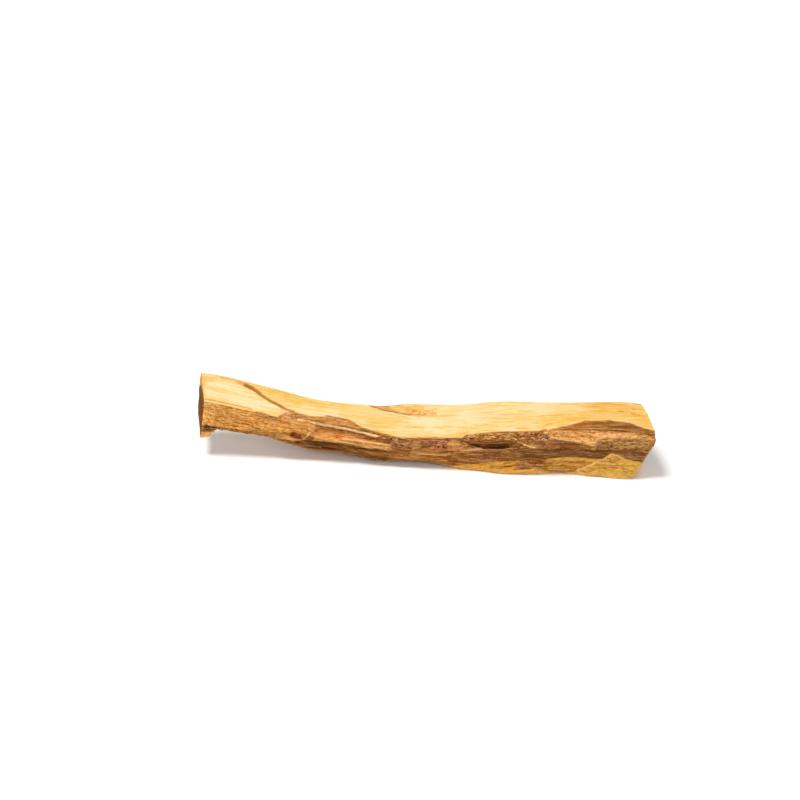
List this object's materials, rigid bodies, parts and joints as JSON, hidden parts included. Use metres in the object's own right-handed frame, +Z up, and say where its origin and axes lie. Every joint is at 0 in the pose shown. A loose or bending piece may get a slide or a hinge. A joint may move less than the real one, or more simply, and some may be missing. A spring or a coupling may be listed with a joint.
{
  "type": "palo santo stick",
  "caption": "Split stick of palo santo wood with a pale top face and a brown torn front, bent gently up at one end and lying on a flat sawn underside.",
  "frame": {"origin": "centre of the bounding box at its base, on the plane of the flat underside", "axes": "+X along the stick to its thick end, +Y to the back of the stick, +Z up"},
  "size_m": [0.101, 0.0146, 0.0158],
  "materials": {
    "wood": "bare split wood"
  },
  "bodies": {
    "root": {"stick": "wood"}
  },
  "joints": []
}
